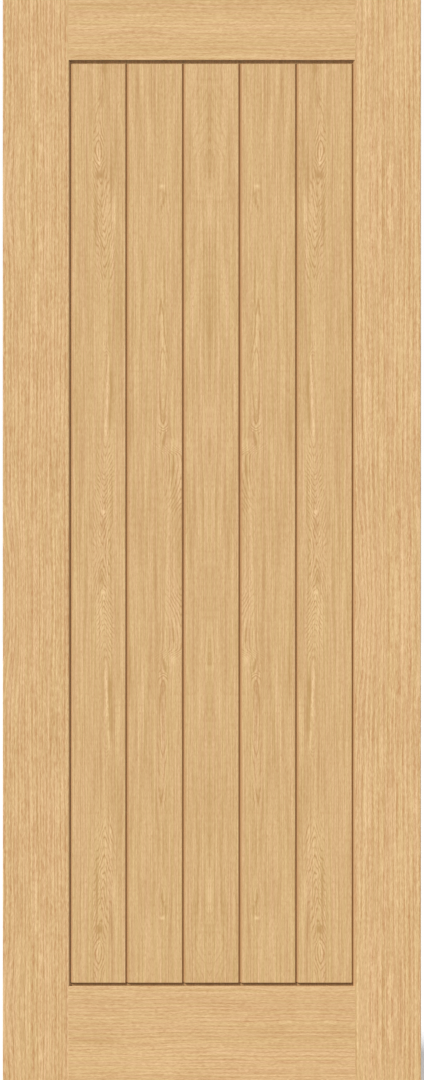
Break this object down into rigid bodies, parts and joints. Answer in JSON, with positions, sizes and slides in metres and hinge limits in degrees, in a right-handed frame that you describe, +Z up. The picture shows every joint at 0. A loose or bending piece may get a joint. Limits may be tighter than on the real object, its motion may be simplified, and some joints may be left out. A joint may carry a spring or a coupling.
{
  "type": "framed boarded door leaf",
  "caption": "Oak door leaf: stiles and rails frame vertical tongued and grooved boards with V joints between them. It hangs on hinges in a door frame.",
  "frame": {"origin": "middle of the leaf's bottom edge: centred on its width and its thickness, at its lowest face", "axes": "+Z up the leaf, +X across its width to the right as seen from the front, +Y through its thickness away from the front, so the front face looks towards -Y"},
  "size_m": [0.762, 0.035, 1.981],
  "materials": {
    "stile_oak": "pale oak, straight vertical grain, clear satin lacquer",
    "rail_oak": "pale oak, horizontal grain, clear satin lacquer",
    "board_oak": "pale oak, vertical crown-cut grain, clear satin lacquer",
    "dowel_beech": "plain beech, fluted"
  },
  "bodies": {
    "root": {"left_stile": "stile_oak", "right_stile": "stile_oak", "top_rail": "rail_oak", "bottom_rail": "rail_oak", "board_1": "board_oak", "board_2": "board_oak", "board_3": "board_oak", "board_4": "board_oak", "board_5": "board_oak", "bottom_left_dowel_1": "dowel_beech", "bottom_left_dowel_2": "dowel_beech", "bottom_left_dowel_3": "dowel_beech", "bottom_right_dowel_1": "dowel_beech", "bottom_right_dowel_2": "dowel_beech", "bottom_right_dowel_3": "dowel_beech", "top_left_dowel_1": "dowel_beech", "top_left_dowel_2": "dowel_beech", "top_right_dowel_1": "dowel_beech", "top_right_dowel_2": "dowel_beech"}
  },
  "joints": []
}
